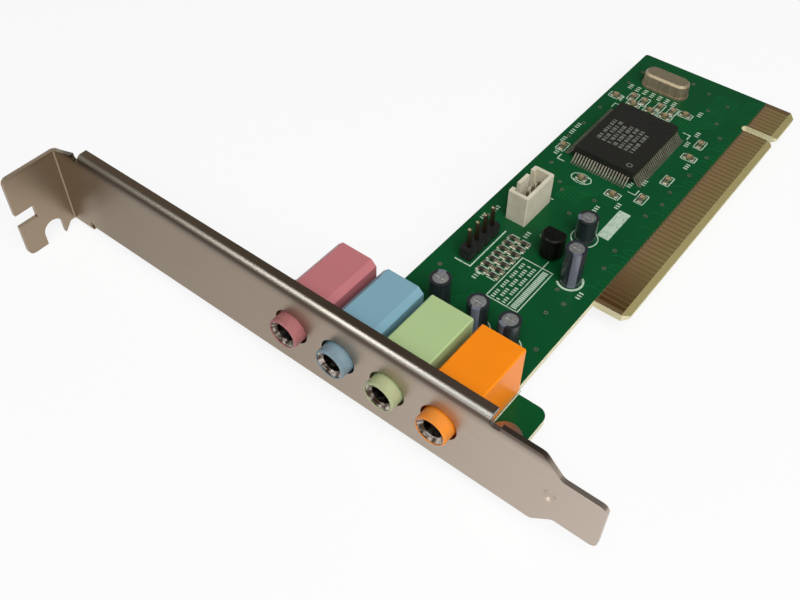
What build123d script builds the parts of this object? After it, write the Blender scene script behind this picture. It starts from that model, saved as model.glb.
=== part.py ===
# PCI sound card: a low circuit board with an edge connector, a folded bracket and four audio jacks.
# Millimetres. The origin is the middle of the key slot on the mating edge, at half the board's thickness.
# X runs from the bracket towards the far end, Y from the mating edge up to the bracket's screw tab,
# and Z out of the component side.
import os

from build123d import *

os.makedirs("parts", exist_ok=True)

# Circuit board
board_thickness = 1.57
board_height = 37.1  # mating edge to the plain long edge
key_to_far_end = 11.5
key_to_near_end = 64.4
key_width = 1.91
key_depth = 7.6
key_corner = 0.6
tongue_height = 6.9
tongue_corner = 1.2
mating_bevel_length = 1.3
mating_bevel_depth = 0.45
foot_length = 15.4  # near edge to the end of the foot beside the orange jack
foot_corner = 2.0
board_corner = 0.6
land_margin = 2.0  # board beyond the jacks' back and outer side
land_corner = 1.5
hole_clearance = 0.2  # drilled hole over a lead's largest width

# Edge connector contacts
contact_pitch = 1.27
contact_width = 0.96
contact_thickness = 0.05
near_contacts = 49
far_contacts = 7
contact_top_gap = 0.25

# Bracket, one folded sheet
sheet = 0.86
bracket_length = 120.02
bracket_width = 18.42
bracket_to_key = 107.16  # outer face to the middle of the key slot
bracket_drop = 18.2  # mating edge to the tip of the bracket's tongue
solder_side_reach = 1.12  # bracket edge below the solder face
board_gap = 0.45  # inner face to the board's near edge
inner_bend = 0.3
lip_depth = 2.4
lip_start = 20.2  # from the tongue's tip
lip_end_gap = 8.2  # tab's upper face to the lip's end
lip_rise = 0.75  # lip above the plain part of the edge
bend_relief = 2.0  # cut at each end of the lip
relief_depth = 1.1
relief_round = 0.6
tongue_width = 10.8
tongue_offset = 3.4  # bracket edge to the tongue's lower side
tongue_length = 7.5
shoulder_round = 1.5
shoulder = 3.5
tongue_tip_round = 1.3
dimple_place = 8.9  # from the tongue's tip
dimple_radius = 1.3
dimple_depth = 0.35
dimple_draft = 60
tab_depth = 11.5
tab_width = 19.05
tab_shift = 3.0  # tab beyond the bracket's edge, on the solder side
tab_round = 1.3
screw_notch_width = 4.4
screw_notch_depth = 4.7
screw_notch_place = 5.0  # outer face to the middle of the notch
guide_notch_width = 2.95
guide_notch_depth = 4.1
guide_notch_place = 6.0  # bracket edge to the middle of the notch
neck_length = 6.6  # wider stretch of the face beside the tab
neck_step = 1.05
neck_relief = 0.7

# Angle lugs between bracket and board, and their screws
lug_width = 5.8
lug_reach = 9.85
lug_rise = 6.5
lug_edge_gap = 0.1  # lug to the board's edge
screw_diameter = 2.9
screw_clearance = 0.15
thread_clearance = 0.03
screw_head_diameter = 5.4
screw_head_height = 1.6
screw_head_draft = 12
screw_tip = 0.5

# Audio jacks
jack_pitch = 10.2
first_jack = 10.72  # mating edge to the orange jack's axis
jack_width = 8.6
jack_height = 11.1
jack_length = 15.6
jack_gap = 0.8  # jack front to the bracket's inner face
jack_axis_height = 6.6
side_wall = 0.9
roof_wall = 1.2
front_wall = 2.6
back_wall = 1.0
nose_diameter = 6.0
nose_reach = 2.3  # beyond the bracket's outer face
nose_bevel = 0.3
nose_hole_clearance = 0.5
bush_bore = 3.6
bush_wall = 0.8
bush_recess = 0.15
bush_mouth = 0.65  # funnel at the bush's opening
bush_clearance = 0.03
strap_width = 2.6
strap_thickness = 0.4
tail_length = 0.8
spring_thickness = 0.25
spring_height = 2.4
spring_contact = 1.35  # jack axis to a spring's contact point
spring_lift = 0.5  # rise of the spring beside its contact point
spring_root = 1.2  # flat stretch against the side wall
spring_back_gap = 0.3
tip_contact = 6.2  # behind the front wall
ring_contact = 4.0
switch_face = 2.45  # jack axis to the face where a spring rests on its switch blade
switch_overlap = 0.8
switch_length = 1.6
jacks = [("orange", 0.25), ("green", 0.25), ("blue", 1.1), ("pink", 1.1)]  # colour, bevel of the top edges

# Controller, a flat pack with gull-wing leads
chip_x = -22.2
chip_y = 24.2
chip_length = 20.0
chip_width = 14.0
chip_thickness = 2.7
chip_standoff = 0.2
chip_draft = 9
chip_lead_pitch = 0.65
chip_lead_width = 0.3
chip_lead_thickness = 0.15
chip_lead_reach = 1.95
chip_lead_foot = 0.8
long_side_lead_count = 30
short_side_lead_count = 20

# Crystal, a low can on a base plate
crystal_x = 1.65
crystal_y = 27.2
crystal_length = 10.6
crystal_width = 4.3
crystal_height = 3.5
crystal_base_height = 0.45
crystal_flange = 0.25
crystal_bevel = 0.45
crystal_lead_pitch = 4.88
crystal_lead_diameter = 0.43

# White audio socket with an open, slotted wall
socket_x = -51.6
socket_y = 29.6
socket_length = 9.5
socket_width = 4.5
socket_height = 7.0
socket_wall = 0.75
socket_floor = 1.8
socket_pins = 4
socket_pin_pitch = 2.0
socket_pin_size = 0.5
socket_pin_rise = 3.4
socket_slot_width = 1.5
socket_slot_depth = 4.4
socket_slot_inset = 1.55
socket_edge = 0.2

# Black pin header
header_x = -65.75
header_y = 31.4
header_pitch = 2.54
header_pins = 4
header_height = 2.5
header_corner = 0.35
header_pin_size = 0.64
header_pin_rise = 4.6
pin_clearance = 0.03

# Electrolytic capacitors: place and height
capacitors = [
    (-82.75, 28.4, 7.0),
    (-83.15, 20.05, 7.0),
    (-83.15, 13.5, 7.0),
    (-51.5, 16.65, 5.4),
    (-62.9, 12.95, 8.5),
]
can_diameter = 3.8
can_standoff = 0.3
can_lead_pitch = 1.8
can_lead_diameter = 0.45
sleeve_thickness = 0.12
sleeve_fold = 0.45
vent_width = 0.2
vent_depth = 0.12

# Regulator, a half-round body on three leads
regulator_x = -59.4
regulator_y = 19.3
regulator_diameter = 4.7
regulator_flat = 1.5  # axis to the flat
regulator_height = 4.7
regulator_standoff = 0.9
regulator_lead_pitch = 1.27
regulator_lead_size = 0.42
regulator_bevel = 0.25

# Small surface parts
chip_part_length = 1.6
chip_part_width = 0.8
resistor_thickness = 0.45
capacitor_thickness = 0.8
terminal_length = 0.35
resistor_block_x = -65.6
resistor_block_y = 25.95
resistor_columns = 7
resistor_rows = 2
resistor_column_pitch = 1.75
resistor_row_pitch = 2.5
lying = 0  # a small part along X
standing = 90  # a small part along Y
chip_capacitor_places = [
    (-36.9, 26.1, standing),
    (-37.2, 18.6, standing),
    (-34.7, 13.4, lying),
    (-26.4, 12.0, lying),
    (-17.0, 11.8, standing),
    (-11.5, 11.9, lying),
    (-4.2, 19.1, standing),
    (-30.3, 34.6, lying),
    (-7.5, 34.6, standing),
    (-5.4, 31.4, lying),
    (-7.9, 30.0, standing),
    (-5.6, 28.6, lying),
    (-7.8, 25.9, standing),
    (-5.2, 24.9, lying),
    (-7.6, 22.4, standing),
    (-4.9, 21.9, lying),
]

# Solder cones under the leads
joint_margin = 0.3
joint_height = 0.85
joint_sides = 6
wire_sides = 6
joint_tip_share = 0.4

# Working slack
pick_slack = 0.01  # when edges and corners are picked by their place

# Planes and places that follow from the sizes above
deck = board_thickness / 2
face_outer = -bracket_to_key
face_inner = face_outer + sheet
near_edge = face_inner + board_gap
tip = -bracket_drop
lip_end = bracket_length - lip_end_gap
top = tip + bracket_length
low = -deck - solder_side_reach
high = low + bracket_width
plain_high = high - lip_rise
tab_low = low - tab_shift
tab_high = tab_low + tab_width
tongue_low = low + tongue_offset
tongue_high = tongue_low + tongue_width
jack_front = face_inner + jack_gap
jack_back = jack_front + jack_length
jack_axis = deck + jack_axis_height
jack_rows = [first_jack + jack_pitch * order for order in range(len(jacks))]
nose_tip = face_outer - nose_reach
cavity_front = jack_front + front_wall
cavity_back = jack_back - back_wall
foot_end = near_edge + foot_length
land_end = jack_back + land_margin
land_top = jack_rows[-1] + jack_width / 2 + land_margin
lug_screw_x = face_inner + lug_reach - lug_width / 2
lug_rows = [lug_width / 2 + lug_edge_gap, land_top + lug_width / 2 + lug_edge_gap]
lug_land_top = lug_rows[-1] + lug_width / 2 + lug_edge_gap
lug_land_end = face_inner + lug_reach + board_gap
lug_thickness = sheet
fold_flat = sheet + inner_bend
bend_root = plain_high - relief_depth
strap_end = cavity_front + strap_thickness
anchor = cavity_back - spring_back_gap
spring_outer = jack_width / 2 - side_wall
switch_middle = switch_face - spring_thickness / 2
tip_switch = cavity_front + tip_contact - 2 * switch_length
ring_switch = cavity_front + ring_contact - 2 * switch_length
bush_diameter = bush_bore + 2 * bush_wall
header_length = header_pins * header_pitch
sleeve_radius = can_diameter / 2 + sleeve_thickness


def spread(count, pitch):
    return [(index - (count - 1) / 2) * pitch for index in range(count)]


def lying_at(shapes, axis, place):
    return shapes.filter_by_position(axis, place - pick_slack, place + pick_slack)


# Lead places with the widest size of each lead
jack_tail = (tail_length**2 + strap_thickness**2) ** 0.5
leads = []
for row in jack_rows:
    leads.append((cavity_front + strap_thickness / 2, row, jack_tail))
    for side in (1, -1):
        leads.append((anchor - tail_length / 2, row + side * (spring_outer - spring_thickness / 2), jack_tail))
    leads.append((tip_switch + tail_length / 2, row + switch_middle, jack_tail))
    leads.append((ring_switch + tail_length / 2, row - switch_middle, jack_tail))
for offset in spread(2, crystal_lead_pitch):
    leads.append((crystal_x, crystal_y + offset, crystal_lead_diameter))
for offset in spread(socket_pins, socket_pin_pitch):
    leads.append((socket_x + offset, socket_y, socket_pin_size * 2**0.5))
for offset in spread(header_pins, header_pitch):
    leads.append((header_x + offset, header_y, header_pin_size * 2**0.5))
for x, y, height in capacitors:
    for offset in spread(2, can_lead_pitch):
        leads.append((x, y + offset, can_lead_diameter))
for offset in spread(3, regulator_lead_pitch):
    leads.append((regulator_x, regulator_y + offset, regulator_lead_size * 2**0.5))
lead_sizes = sorted({size for x, y, size in leads})

# Circuit board
with BuildPart() as circuit_board:
    with BuildSketch(Plane.XY.offset(-deck)) as outline:
        with BuildLine():
            Polyline(
                (near_edge, 0),
                (foot_end, 0),
                (foot_end, tongue_height),
                (-key_to_near_end, tongue_height),
                (-key_to_near_end, 0),
                (key_to_far_end, 0),
                (key_to_far_end, board_height),
                (land_end, board_height),
                (land_end, land_top),
                (lug_land_end, lug_land_top),
                (near_edge, lug_land_top),
                close=True,
            )
        make_face()
        corners = outline.vertices()
        tongue_ends = lying_at(corners, Axis.Y, 0).sort_by(Axis.X)
        chamfer(tongue_ends[-2:], length=tongue_corner)
        fillet(lying_at(outline.vertices(), Axis.Y, 0).sort_by(Axis.X)[1], radius=foot_corner)
        fillet(lying_at(outline.vertices(), Axis.X, land_end), radius=land_corner)
        far_corners = lying_at(outline.vertices(), Axis.X, key_to_far_end)
        fillet(far_corners.sort_by(Axis.Y)[-1], radius=board_corner)
        with Locations((0, (key_depth - key_width / 2) / 2)):
            Rectangle(key_width, key_depth - key_width / 2, mode=Mode.SUBTRACT)
        with Locations((0, key_depth - key_width / 2)):
            Circle(key_width / 2, mode=Mode.SUBTRACT)
        key_mouth = lying_at(outline.vertices(), Axis.Y, 0).sort_by(Axis.X)[-3:-1]
        chamfer(key_mouth, length=key_corner)
    extrude(amount=board_thickness)
    # Bevel on both sides of the mating edge
    with BuildSketch(Plane.YZ.offset(-key_to_near_end)):
        for side in (1, -1):
            with BuildLine():
                Polyline(
                    (0, side * deck),
                    (mating_bevel_length, side * deck),
                    (0, side * (deck - mating_bevel_depth)),
                    close=True,
                )
            make_face()
    extrude(amount=key_to_near_end + key_to_far_end, mode=Mode.SUBTRACT)
    with Locations(*[(lug_screw_x, row, deck) for row in lug_rows]):
        Hole(radius=screw_diameter / 2 + screw_clearance)
    for lead_size in lead_sizes:
        with BuildSketch(Plane.XY.offset(-deck)):
            with Locations(*[(x, y) for x, y, size in leads if size == lead_size]):
                RegularPolygon((lead_size + hole_clearance) / 2, joint_sides)
        extrude(amount=board_thickness, mode=Mode.SUBTRACT)
circuit_board.part.label = "circuit_board"
export_step(circuit_board.part, "parts/circuit_board.step")

# Edge connector contacts, one set on each face
contact_length = tongue_height - contact_top_gap - mating_bevel_length
first_contact = 1.5 * contact_pitch
contact_places = [-first_contact - index * contact_pitch for index in range(near_contacts)]
contact_places += [first_contact + index * contact_pitch for index in range(far_contacts)]
for side, name in ((1, "component_side_fingers"), (-1, "solder_side_fingers")):
    with BuildPart() as fingers:
        with BuildSketch(Plane.XY.offset(side * deck)):
            with Locations(*[(x, mating_bevel_length + contact_length / 2) for x in contact_places]):
                Rectangle(contact_width, contact_length)
        extrude(amount=side * contact_thickness)
    fingers.part.label = name
    export_step(fingers.part, f"parts/{name}.step")

# Bracket
with BuildPart() as bracket:
    with BuildSketch(Plane.YZ.offset(face_outer)) as face:
        with BuildLine():
            Polyline(
                (tip, tongue_low),
                (tip + tongue_length, tongue_low),
                (tip + tongue_length + shoulder, low),
                (top - neck_length, low),
                (top - neck_length, low - neck_step),
                (top, low - neck_step),
                (top, tab_high),
                (top - fold_flat, tab_high),
                (tip + lip_end + bend_relief, plain_high),
                (tip + lip_end + bend_relief, bend_root),
                (tip + lip_end, bend_root),
                (tip + lip_end, high),
                (tip + lip_start, high),
                (tip + lip_start, bend_root),
                (tip + lip_start - bend_relief, bend_root),
                (tip + lip_start - bend_relief, plain_high),
                (tip + tongue_length + shoulder, plain_high),
                (tip + tongue_length, tongue_high),
                (tip, tongue_high),
                close=True,
            )
        make_face()
        fillet(face.vertices().group_by(Axis.X)[0], radius=tongue_tip_round)
        for bend in (tip + tongue_length, tip + tongue_length + shoulder):
            fillet(lying_at(face.vertices(), Axis.X, bend), radius=shoulder_round)
        relief_corners = lying_at(face.vertices(), Axis.Y, bend_root)
        fillet(relief_corners, radius=relief_round)
        with Locations((top - neck_length, low)):
            Circle(neck_relief, mode=Mode.SUBTRACT)
        with Locations(*[(row, jack_axis) for row in jack_rows]):
            Circle(nose_diameter / 2 + nose_hole_clearance, mode=Mode.SUBTRACT)
    extrude(amount=sheet)
    # Stiffening lip, folded inwards
    with BuildSketch(Plane.XY.offset(high - sheet)):
        with Locations((face_outer, tip + lip_start)):
            Rectangle(lip_depth, lip_end - lip_start, align=(Align.MIN, Align.MIN))
    extrude(amount=sheet)
    # Screw tab, folded outwards
    with BuildSketch(Plane.XZ.offset(-top)) as tab:
        with BuildLine():
            Polyline(
                (face_inner, tab_high),
                (face_outer - tab_depth, tab_high),
                (face_outer - tab_depth, tab_low),
                (face_outer - screw_notch_place + screw_notch_width / 2, tab_low),
                (face_outer - fold_flat, low - neck_step),
                (face_inner, low - neck_step),
                close=True,
            )
        make_face()
        fillet(tab.vertices().group_by(Axis.X)[0], radius=tab_round)
        with Locations((face_outer - screw_notch_place, tab_low)):
            Rectangle(
                screw_notch_width,
                screw_notch_depth - screw_notch_width / 2,
                align=(Align.CENTER, Align.MIN),
                mode=Mode.SUBTRACT,
            )
        with Locations((face_outer - screw_notch_place, tab_low + screw_notch_depth - screw_notch_width / 2)):
            Circle(screw_notch_width / 2, mode=Mode.SUBTRACT)
        with Locations((face_outer - tab_depth, low + guide_notch_place)):
            Rectangle(
                guide_notch_depth,
                guide_notch_width,
                align=(Align.MIN, Align.CENTER),
                mode=Mode.SUBTRACT,
            )
    extrude(amount=sheet)
    bends = bracket.edges().filter_by(Axis.Z)
    outer_bend = lying_at(bends, Axis.X, face_inner)
    fillet(lying_at(outer_bend, Axis.Y, top), radius=sheet + inner_bend)
    hollow_bend = lying_at(bracket.edges().filter_by(Axis.Z), Axis.X, face_outer)
    fillet(lying_at(hollow_bend, Axis.Y, top - sheet), radius=inner_bend)
    lip_bends = lying_at(bracket.edges().filter_by(Axis.Y), Axis.Z, high)
    fillet(lip_bends.sort_by(Axis.X)[0], radius=sheet + inner_bend)
    lip_hollow = lying_at(bracket.edges().filter_by(Axis.Y), Axis.X, face_inner)
    fillet(lying_at(lip_hollow, Axis.Z, high - sheet), radius=inner_bend)
    # Small pressed dimple where the tongue begins
    with BuildSketch(Plane.YZ.offset(face_outer)):
        with Locations((tip + dimple_place, tongue_low + tongue_width / 2)):
            Circle(dimple_radius)
    extrude(amount=dimple_depth, taper=dimple_draft, mode=Mode.SUBTRACT)
bracket.part.label = "bracket"
export_step(bracket.part, "parts/bracket.step")

# Angle lugs, flat on the component side and against the bracket's inner face
with BuildPart() as bracket_lugs:
    for row in lug_rows:
        with BuildSketch(Plane.XY.offset(deck)):
            with Locations((face_inner, row)):
                Rectangle(lug_reach - lug_width / 2, lug_width, align=(Align.MIN, Align.CENTER))
            with Locations((lug_screw_x, row)):
                Circle(lug_width / 2)
                Circle(screw_diameter / 2 + thread_clearance, mode=Mode.SUBTRACT)
        extrude(amount=lug_thickness)
        with BuildSketch(Plane.YZ.offset(face_inner)):
            with Locations((row, deck)):
                Rectangle(lug_width, lug_rise, align=(Align.CENTER, Align.MIN))
        extrude(amount=lug_thickness)
bracket_lugs.part.label = "bracket_lugs"
export_step(bracket_lugs.part, "parts/bracket_lugs.step")

with BuildPart() as lug_screws:
    for row in lug_rows:
        with BuildSketch(Plane.XY.offset(-deck)):
            with Locations((lug_screw_x, row)):
                Circle(screw_head_diameter / 2)
        extrude(amount=-screw_head_height, taper=screw_head_draft)
        with BuildSketch(Plane.XY.offset(-deck)):
            with Locations((lug_screw_x, row)):
                Circle(screw_diameter / 2)
        extrude(amount=board_thickness + lug_thickness + screw_tip)
lug_screws.part.label = "lug_screws"
export_step(lug_screws.part, "parts/lug_screws.step")


def strip(points, thickness):
    return points + [(x, y + thickness) for x, y in reversed(points)]


# Audio jacks
spring_low = jack_axis - spring_height / 2
for (colour, edge_bevel), row in zip(jacks, jack_rows):
    with BuildPart() as housing:
        with BuildSketch(Plane.YZ.offset(jack_front)) as block:
            with Locations((row, deck)):
                Rectangle(jack_width, jack_height, align=(Align.CENTER, Align.MIN))
            chamfer(block.vertices().group_by(Axis.Y)[-1], length=edge_bevel)
        extrude(amount=jack_length)
        with BuildSketch(Plane.YZ.offset(nose_tip)):
            with Locations((row, jack_axis)):
                Circle(nose_diameter / 2)
        extrude(amount=jack_front - nose_tip)
        chamfer(housing.edges().group_by(Axis.X)[0], length=nose_bevel)
        with BuildSketch(Plane.XY.offset(deck)):
            with Locations((cavity_front, row)):
                Rectangle(
                    cavity_back - cavity_front,
                    jack_width - 2 * side_wall,
                    align=(Align.MIN, Align.CENTER),
                )
        extrude(amount=jack_height - roof_wall, mode=Mode.SUBTRACT)
        with BuildSketch(Plane.YZ.offset(nose_tip)):
            with Locations((row, jack_axis)):
                Circle(bush_diameter / 2 + bush_clearance)
        extrude(amount=cavity_front - nose_tip, mode=Mode.SUBTRACT)
    housing.part.label = f"{colour}_jack_housing"
    export_step(housing.part, f"parts/{colour}_jack_housing.step")

    # Plated bush that lines the nose, with a strap down to its tail
    with BuildPart() as bush:
        with BuildSketch(Plane.YZ.offset(nose_tip + bush_recess)):
            with Locations((row, jack_axis)):
                Circle(bush_diameter / 2)
        extrude(amount=strap_end - nose_tip - bush_recess)
        with BuildSketch(Plane.YZ.offset(cavity_front)):
            with Locations((row, deck)):
                Rectangle(strap_width, jack_axis_height, align=(Align.CENTER, Align.MIN))
        extrude(amount=strap_thickness)
        with BuildSketch(Plane.XY.offset(-deck)):
            with Locations((cavity_front, row)):
                Rectangle(strap_thickness, tail_length, align=(Align.MIN, Align.CENTER))
        extrude(amount=board_thickness)
        with BuildSketch(Plane.YZ.offset(nose_tip)):
            with Locations((row, jack_axis)):
                Circle(bush_bore / 2)
        extrude(amount=strap_end - nose_tip, mode=Mode.SUBTRACT)
        chamfer(bush.edges().group_by(Axis.X)[0].sort_by(SortBy.RADIUS)[0], length=bush_mouth)
    bush.part.label = f"{colour}_jack_bush"
    export_step(bush.part, f"parts/{colour}_jack_bush.step")

    # Each spring rests on its switch blade until a plug lifts it off
    for contact, place, switch, side in (
        ("tip", tip_contact, tip_switch, 1),
        ("ring", ring_contact, ring_switch, -1),
    ):
        bump = cavity_front + place
        switch_end = switch + switch_length
        shift = (side - 1) / 2 * spring_thickness
        wave = [
            (anchor, spring_outer - spring_thickness),
            (anchor - spring_root, spring_outer - spring_thickness),
            (bump + spring_lift, spring_contact + spring_lift),
            (bump, spring_contact),
            (bump - spring_lift, spring_contact + spring_lift),
            (switch_end, switch_face),
            (switch_end - switch_overlap, switch_face),
        ]
        with BuildPart() as spring:
            with BuildSketch(Plane.XY.offset(spring_low)):
                with BuildLine():
                    Polyline(*strip([(x, row + side * y + shift) for x, y in wave], spring_thickness), close=True)
                make_face()
            extrude(amount=spring_height)
            with BuildSketch(Plane.XY.offset(-deck)):
                with Locations((anchor - tail_length / 2, row + side * (spring_outer - spring_thickness / 2))):
                    Rectangle(tail_length, spring_thickness)
            extrude(amount=spring_low + deck)
        spring.part.label = f"{colour}_jack_{contact}_spring"
        export_step(spring.part, f"parts/{colour}_jack_{contact}_spring.step")

        with BuildPart() as blade:
            with BuildSketch(Plane.XY.offset(spring_low)):
                with Locations((switch, row + side * switch_middle)):
                    Rectangle(switch_length, spring_thickness, align=(Align.MIN, Align.CENTER))
            extrude(amount=spring_height)
            with BuildSketch(Plane.XY.offset(-deck)):
                with Locations((switch, row + side * switch_middle)):
                    Rectangle(tail_length, spring_thickness, align=(Align.MIN, Align.CENTER))
            extrude(amount=spring_low + deck)
        blade.part.label = f"{colour}_jack_{contact}_switch"
        export_step(blade.part, f"parts/{colour}_jack_{contact}_switch.step")

# Controller body, drafted both ways from its parting plane
parting = deck + chip_standoff + chip_thickness / 2
with BuildPart() as controller_chip:
    for direction in (1, -1):
        with BuildSketch(Plane.XY.offset(parting)):
            with Locations((chip_x, chip_y)):
                Rectangle(chip_length, chip_width)
        extrude(amount=direction * chip_thickness / 2, taper=chip_draft)
controller_chip.part.label = "controller_chip"
export_step(controller_chip.part, "parts/controller_chip.step")

# Gull-wing leads, one shape turned to the four sides
half = chip_lead_thickness / 2
knee = chip_lead_reach - chip_lead_foot
with BuildPart() as chip_lead:
    with BuildSketch(Plane.YZ.offset(-chip_lead_width / 2)):
        with BuildLine():
            Polyline(
                (0, parting - half),
                (knee - half, deck),
                (chip_lead_reach, deck),
                (chip_lead_reach, deck + chip_lead_thickness),
                (knee + half, deck + chip_lead_thickness),
                (0, parting + half),
                close=True,
            )
        make_face()
    extrude(amount=chip_lead_width)
lead_stations = []
for offset in spread(long_side_lead_count, chip_lead_pitch):
    lead_stations.append(Location((chip_x + offset, chip_y + chip_width / 2, 0), (0, 0, 0)))
    lead_stations.append(Location((chip_x + offset, chip_y - chip_width / 2, 0), (0, 0, 180)))
for offset in spread(short_side_lead_count, chip_lead_pitch):
    lead_stations.append(Location((chip_x + chip_length / 2, chip_y + offset, 0), (0, 0, -90)))
    lead_stations.append(Location((chip_x - chip_length / 2, chip_y + offset, 0), (0, 0, 90)))
with BuildPart() as controller_leads:
    with Locations(*lead_stations):
        add(chip_lead.part)
controller_leads.part.label = "controller_leads"
export_step(controller_leads.part, "parts/controller_leads.step")

# Crystal
with BuildPart() as crystal_can:
    with BuildSketch(Plane.XY.offset(deck + crystal_base_height)):
        with Locations((crystal_x, crystal_y)):
            SlotOverall(crystal_length, crystal_width, rotation=90)
    extrude(amount=crystal_height - crystal_base_height)
    chamfer(crystal_can.faces().sort_by(Axis.Z)[-1].edges(), length=crystal_bevel)
crystal_can.part.label = "crystal_can"
export_step(crystal_can.part, "parts/crystal_can.step")

with BuildPart() as crystal_base:
    with BuildSketch(Plane.XY.offset(deck)):
        with Locations((crystal_x, crystal_y)):
            SlotOverall(crystal_length + 2 * crystal_flange, crystal_width + 2 * crystal_flange, rotation=90)
    extrude(amount=crystal_base_height)
    with BuildSketch(Plane.XY.offset(-deck)):
        with Locations(*[(crystal_x, crystal_y + offset) for offset in spread(2, crystal_lead_pitch)]):
            RegularPolygon(crystal_lead_diameter / 2, wire_sides)
    extrude(amount=board_thickness)
crystal_base.part.label = "crystal_base"
export_step(crystal_base.part, "parts/crystal_base.step")

# Audio socket, its long wall on the +Y side slotted for the plug's latches
socket_places = [(socket_x + offset, socket_y) for offset in spread(socket_pins, socket_pin_pitch)]
with BuildPart() as audio_socket:
    with BuildSketch(Plane.XY.offset(deck)):
        with Locations((socket_x, socket_y)):
            Rectangle(socket_length, socket_width)
    extrude(amount=socket_height)
    chamfer(audio_socket.edges().filter_by(Axis.Z), length=socket_edge)
    with BuildSketch(Plane.XY.offset(deck + socket_height)):
        with Locations((socket_x, socket_y)):
            Rectangle(socket_length - 2 * socket_wall, socket_width - 2 * socket_wall)
    extrude(amount=socket_floor - socket_height, mode=Mode.SUBTRACT)
    with BuildSketch(Plane.XY.offset(deck + socket_height)):
        for side in (1, -1):
            slot_place = socket_x + side * (socket_length / 2 - socket_slot_inset - socket_slot_width / 2)
            with Locations((slot_place, socket_y + socket_width / 2)):
                Rectangle(socket_slot_width, 2 * socket_wall)
    extrude(amount=-socket_slot_depth, mode=Mode.SUBTRACT)
    with BuildSketch(Plane.XY.offset(deck)):
        with Locations(*socket_places):
            Rectangle(socket_pin_size + 2 * pin_clearance, socket_pin_size + 2 * pin_clearance)
    extrude(amount=socket_floor, mode=Mode.SUBTRACT)
audio_socket.part.label = "audio_socket"
export_step(audio_socket.part, "parts/audio_socket.step")

with BuildPart() as audio_socket_pins:
    with BuildSketch(Plane.XY.offset(-deck)):
        with Locations(*socket_places):
            Rectangle(socket_pin_size, socket_pin_size)
    extrude(amount=board_thickness + socket_floor + socket_pin_rise)
audio_socket_pins.part.label = "audio_socket_pins"
export_step(audio_socket_pins.part, "parts/audio_socket_pins.step")

# Pin header, a strip of notched blocks
header_places = [(header_x + offset, header_y) for offset in spread(header_pins, header_pitch)]
with BuildPart() as pin_header:
    with BuildSketch(Plane.XY.offset(deck)) as strip_outline:
        with Locations((header_x, header_y)):
            Rectangle(header_length, header_pitch)
        notches = [(header_x + offset, header_y) for offset in spread(header_pins + 1, header_pitch)]
        for side in (1, -1):
            with Locations(*[(x, y + side * header_pitch / 2) for x, y in notches]):
                Rectangle(header_corner * 2**0.5, header_corner * 2**0.5, rotation=45, mode=Mode.SUBTRACT)
        with Locations(*header_places):
            Rectangle(
                header_pin_size + 2 * pin_clearance, header_pin_size + 2 * pin_clearance, mode=Mode.SUBTRACT
            )
    extrude(amount=header_height)
pin_header.part.label = "pin_header"
export_step(pin_header.part, "parts/pin_header.step")

with BuildPart() as pin_header_pins:
    with BuildSketch(Plane.XY.offset(-deck)):
        with Locations(*header_places):
            Rectangle(header_pin_size, header_pin_size)
    extrude(amount=board_thickness + header_height + header_pin_rise)
    chamfer(pin_header_pins.faces().group_by(Axis.Z)[-1].edges(), length=header_pin_size / 4)
pin_header_pins.part.label = "pin_header_pins"
export_step(pin_header_pins.part, "parts/pin_header_pins.step")

# Electrolytic capacitors
for number, (x, y, height) in enumerate(capacitors, start=1):
    can_radius = can_diameter / 2
    can_top = deck + height - sleeve_thickness
    with BuildPart() as can:
        with BuildSketch(Plane.XY.offset(deck + can_standoff)):
            with Locations((x, y)):
                Circle(can_radius)
        extrude(amount=can_top - deck - can_standoff)
        with BuildSketch(Plane.XY.offset(can_top)):
            with Locations((x, y)):
                Rectangle(can_radius, vent_width)
                Rectangle(vent_width, can_radius)
        extrude(amount=-vent_depth, mode=Mode.SUBTRACT)
        with BuildSketch(Plane.XY.offset(-deck)):
            with Locations(*[(x, y + offset) for offset in spread(2, can_lead_pitch)]):
                RegularPolygon(can_lead_diameter / 2, wire_sides)
        extrude(amount=board_thickness + can_standoff)
    can.part.label = f"capacitor_{number}_can"
    export_step(can.part, f"parts/capacitor_{number}_can.step")

    with BuildPart() as sleeve:
        with BuildSketch(Plane.XY.offset(deck)):
            with Locations((x, y)):
                Circle(sleeve_radius)
                Circle(can_radius, mode=Mode.SUBTRACT)
        extrude(amount=can_top - deck)
        with BuildSketch(Plane.XY.offset(can_top)):
            with Locations((x, y)):
                Circle(sleeve_radius)
                Circle(can_radius - sleeve_fold, mode=Mode.SUBTRACT)
        extrude(amount=sleeve_thickness)
    sleeve.part.label = f"capacitor_{number}_sleeve"
    export_step(sleeve.part, f"parts/capacitor_{number}_sleeve.step")

# Regulator with its flat towards the far end
regulator_low = deck + regulator_standoff
with BuildPart() as regulator_body:
    with BuildSketch(Plane.XY.offset(regulator_low)):
        with Locations((regulator_x, regulator_y)):
            Circle(regulator_diameter / 2)
        with Locations((regulator_x + regulator_flat, regulator_y)):
            Rectangle(
                regulator_diameter, regulator_diameter, align=(Align.MIN, Align.CENTER), mode=Mode.SUBTRACT
            )
    extrude(amount=regulator_height)
    chamfer(regulator_body.faces().sort_by(Axis.Z)[-1].edges(), length=regulator_bevel)
regulator_body.part.label = "regulator_body"
export_step(regulator_body.part, "parts/regulator_body.step")

with BuildPart() as regulator_leads:
    with BuildSketch(Plane.XY.offset(-deck)):
        with Locations(*[(regulator_x, regulator_y + offset) for offset in spread(3, regulator_lead_pitch)]):
            Rectangle(regulator_lead_size, regulator_lead_size)
    extrude(amount=board_thickness + regulator_standoff)
regulator_leads.part.label = "regulator_leads"
export_step(regulator_leads.part, "parts/regulator_leads.step")

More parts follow.
